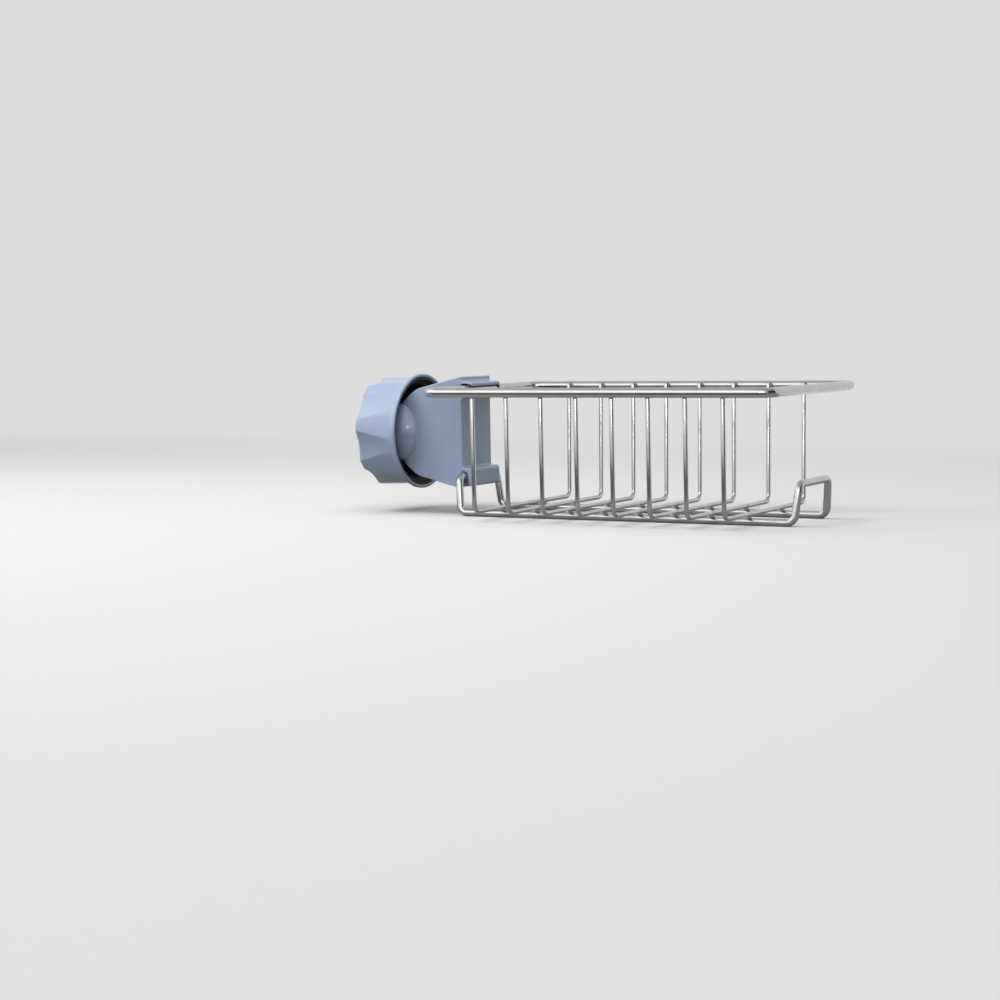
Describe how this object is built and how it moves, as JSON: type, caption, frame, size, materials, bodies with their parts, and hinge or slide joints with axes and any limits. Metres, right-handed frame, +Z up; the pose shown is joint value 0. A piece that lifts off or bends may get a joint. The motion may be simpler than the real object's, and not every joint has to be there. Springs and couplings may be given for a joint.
{
  "type": "soap holder",
  "caption": "Wire soap basket on a moulded clamp that grips an upright round tube with a hand knob, a screw and a rubber foot.",
  "frame": {"origin": "on the axis of the gripped tube, at the height of the clamp's screw", "axes": "+Z up along the tube, +X along the screw from the knob to the basket's far end, -Y towards the front"},
  "size_m": [0.2472, 0.1188, 0.0729],
  "materials": {
    "steel_wire": "polished",
    "clamp_plastic": "gloss",
    "black_plastic": "satin",
    "rubber": "matt",
    "plated_steel": "zinc plated"
  },
  "bodies": {
    "clamp": {"clamp_body": "clamp_plastic", "jaw_liner": "rubber", "top_rim_wire": "steel_wire", "cross_rib_1": "steel_wire", "cross_rib_2": "steel_wire", "cross_rib_3": "steel_wire", "cross_rib_4": "steel_wire", "cross_rib_5": "steel_wire", "cross_rib_6": "steel_wire", "cross_rib_7": "steel_wire", "cross_rib_8": "steel_wire", "bottom_frame_wire": "steel_wire"},
    "pad_carriage": {"swivel_foot": "black_plastic", "foot_pad": "rubber"},
    "knob": {"knob_shell": "clamp_plastic", "knob_core": "black_plastic", "clamp_screw": "plated_steel"}
  },
  "joints": [
    {"name": "pad_slide", "type": "slide", "parent": "clamp", "child": "pad_carriage", "axis": [1, 0, 0], "range_m": [-0.00301, 0.00451]},
    {"name": "knob_turn", "type": "hinge", "parent": "pad_carriage", "child": "knob", "pos_m": [-0.0153, 0, 0], "axis": [1, 0, 0], "range_deg": [-360, 540]}
  ],
  "couplings": [
    {"joint": "pad_slide", "follows": "knob_turn", "m_per_rad": 0.00047746}
  ]
}
